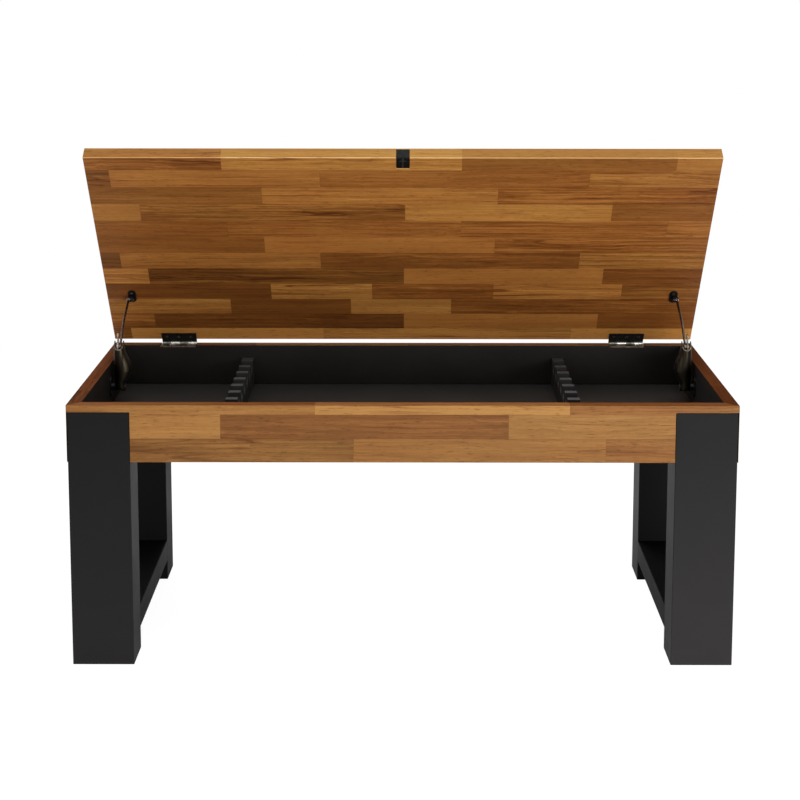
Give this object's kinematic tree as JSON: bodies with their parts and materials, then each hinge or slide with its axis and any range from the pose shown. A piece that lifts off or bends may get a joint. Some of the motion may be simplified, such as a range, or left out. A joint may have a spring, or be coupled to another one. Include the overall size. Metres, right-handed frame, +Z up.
{
  "type": "storage bench",
  "caption": "Low wooden storage bench on black legs; its lift-up lid stands open on elbow stays above a black box with notched racks.",
  "frame": {"origin": "on the floor, under the middle of the bounding box of the bench with its lid open", "axes": "+X along the bench towards its right end, +Y from front to rear, +Z up"},
  "size_m": [1.067, 0.4766, 0.8176],
  "materials": {
    "stave_wood": "satin lacquer",
    "black_painted_wood": "satin paint",
    "inside_paint": "matt paint",
    "bronzed_steel": "dark bronze",
    "hinge_brass": "satin",
    "bright_plating": "plated",
    "black_steel": "black"
  },
  "bodies": {
    "root": {"front_apron": "stave_wood", "rear_apron": "stave_wood", "left_side_board": "stave_wood", "right_side_board": "stave_wood", "floor_panel": "inside_paint", "left_rack": "inside_paint", "left_stretcher": "black_painted_wood", "front_left_leg": "black_painted_wood", "rear_left_leg": "black_painted_wood", "left_hinge_box_leaf": "hinge_brass", "left_hinge_pin": "hinge_brass", "left_stay_bracket": "black_steel", "left_stay_lower_pin": "bright_plating", "right_rack": "inside_paint", "right_stretcher": "black_painted_wood", "front_right_leg": "black_painted_wood", "rear_right_leg": "black_painted_wood", "right_hinge_box_leaf": "hinge_brass", "right_hinge_pin": "hinge_brass", "right_stay_bracket": "black_steel", "right_stay_lower_pin": "bright_plating"},
    "lid": {"lid_panel": "stave_wood", "lid_front_plate": "bronzed_steel", "left_hinge_lid_leaf": "bronzed_steel", "left_stay_lid_mount": "black_steel", "left_stay_upper_pin": "bright_plating", "right_hinge_lid_leaf": "bronzed_steel", "right_stay_lid_mount": "black_steel", "right_stay_upper_pin": "bright_plating"},
    "left_stay_rod_body": {"left_stay_rod": "bronzed_steel", "left_stay_elbow_pin": "bright_plating"},
    "left_stay_arm_body": {"left_stay_housing": "bronzed_steel", "left_stay_arm": "bright_plating"},
    "right_stay_rod_body": {"right_stay_rod": "bronzed_steel", "right_stay_elbow_pin": "bright_plating"},
    "right_stay_arm_body": {"right_stay_housing": "bronzed_steel", "right_stay_arm": "bright_plating"}
  },
  "joints": [
    {"name": "lid_hinge", "type": "hinge", "parent": "root", "child": "lid", "pos_m": [0, 0.22248, 0.42825], "axis": [1, 0, 0], "range_deg": [0, 53.66]},
    {"name": "left_stay_rod_pivot", "type": "hinge", "parent": "lid", "child": "left_stay_rod_body", "pos_m": [0, 0.1423, 0.52619], "axis": [1, 0, 0], "range_deg": [-70.5, 0]},
    {"name": "left_stay_arm_pivot", "type": "hinge", "parent": "root", "child": "left_stay_arm_body", "pos_m": [0, 0.04347, 0.3908], "axis": [1, 0, 0], "range_deg": [0, 98.5]},
    {"name": "right_stay_rod_pivot", "type": "hinge", "parent": "lid", "child": "right_stay_rod_body", "pos_m": [0, 0.1423, 0.52619], "axis": [1, 0, 0], "range_deg": [-70.5, 0]},
    {"name": "right_stay_arm_pivot", "type": "hinge", "parent": "root", "child": "right_stay_arm_body", "pos_m": [0, 0.04347, 0.3908], "axis": [1, 0, 0], "range_deg": [0, 98.5]}
  ],
  "couplings": [
    {"joint": "left_stay_rod_pivot", "follows": "lid_hinge", "ratio": -1.3119},
    {"joint": "left_stay_arm_pivot", "follows": "lid_hinge", "ratio": 1.8337},
    {"joint": "right_stay_rod_pivot", "follows": "lid_hinge", "ratio": -1.3119},
    {"joint": "right_stay_arm_pivot", "follows": "lid_hinge", "ratio": 1.8337}
  ]
}
